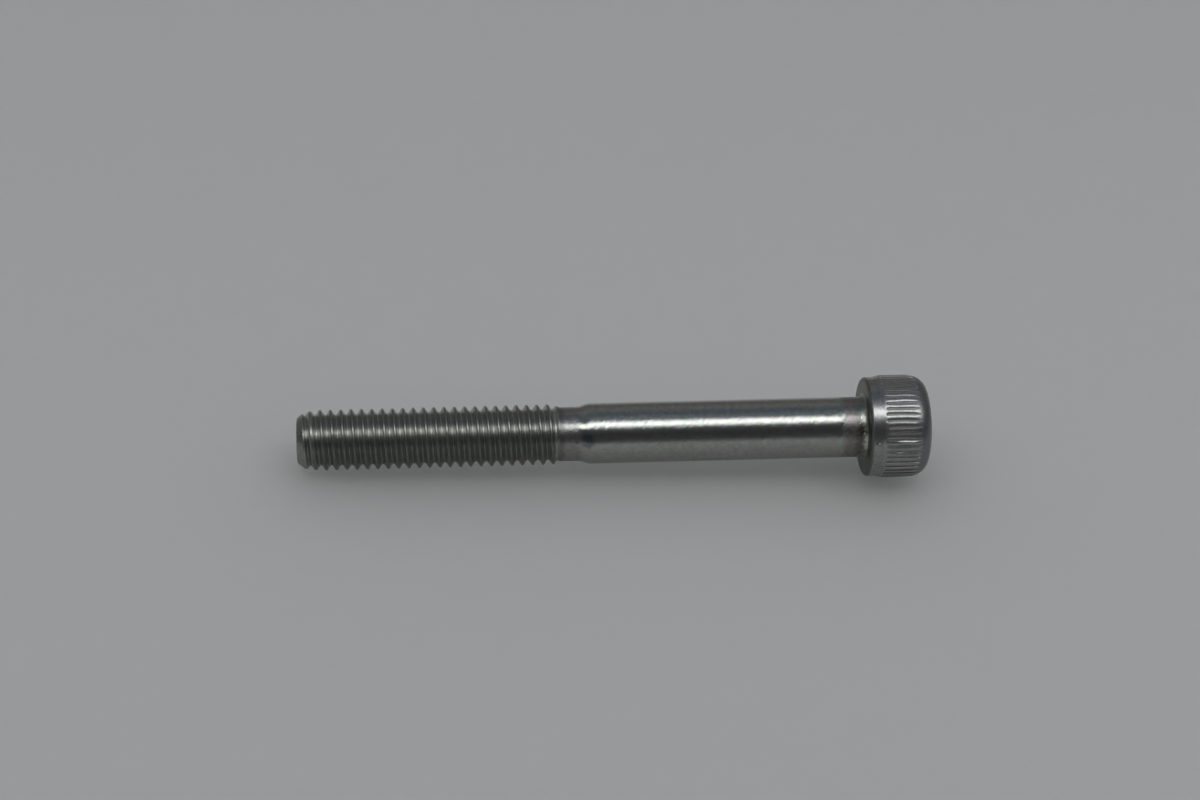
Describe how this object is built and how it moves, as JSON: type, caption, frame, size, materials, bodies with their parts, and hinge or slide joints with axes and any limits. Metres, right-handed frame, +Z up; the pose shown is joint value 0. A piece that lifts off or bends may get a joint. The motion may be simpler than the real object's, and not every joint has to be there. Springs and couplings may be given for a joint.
{
  "type": "hex socket cap screw",
  "caption": "Hex socket cap screw with a straight-knurled cylindrical head, a plain shank and a right-hand thread on the far half, lying on its side.",
  "frame": {"origin": "centre of the bounding box at ground level, under the screw as it lies at rest", "axes": "+X towards the head, -X towards the tip; the screw's centre line rises 2.151 degrees above +X because the head is wider than the thread; +Z up"},
  "size_m": [0.0614, 0.01, 0.0101],
  "materials": {
    "zinc_plate": "bright zinc plate over rolled steel, finely scratched along the shank"
  },
  "bodies": {
    "root": {"cap_screw": "zinc_plate"}
  },
  "joints": []
}
